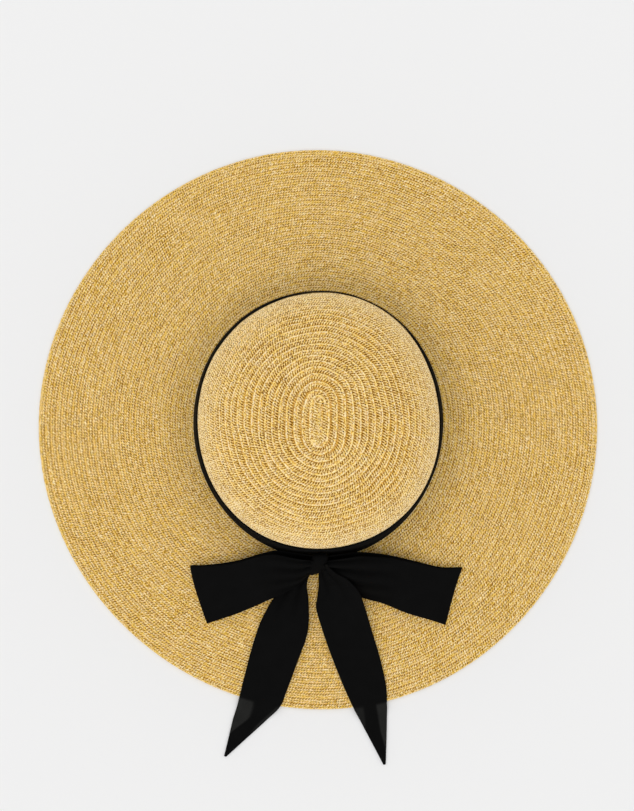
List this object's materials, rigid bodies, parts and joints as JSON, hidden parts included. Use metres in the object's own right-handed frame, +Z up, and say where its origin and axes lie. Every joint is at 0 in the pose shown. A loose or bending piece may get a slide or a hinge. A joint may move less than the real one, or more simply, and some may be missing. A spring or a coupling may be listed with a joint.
{
  "type": "floppy sun hat with a ribbon bow",
  "caption": "Wide-brimmed sewn straw sun hat with a low round crown, a gently flared round brim and a dark ribbon band tied in a bow at the front.",
  "frame": {"origin": "On the hat's upright axis, in the plane of the brim's lower edge, which is the surface the hat lies on.", "axes": "+Z up through the crown, the front with the bow towards -Y, +X to the right seen from the front."},
  "size_m": [0.43, 0.471, 0.13],
  "materials": {
    "straw": "natural paper-straw braid, sewn in rows, matt with slight sheen on the strands",
    "ribbon": "matt black chiffon ribbon, soft folds"
  },
  "bodies": {
    "root": {"crown": "straw", "brim": "straw", "ribbon_band": "ribbon", "bow_knot": "ribbon", "bow_loop_left": "ribbon", "bow_loop_right": "ribbon", "bow_tail_left": "ribbon", "bow_tail_right": "ribbon"}
  },
  "joints": []
}
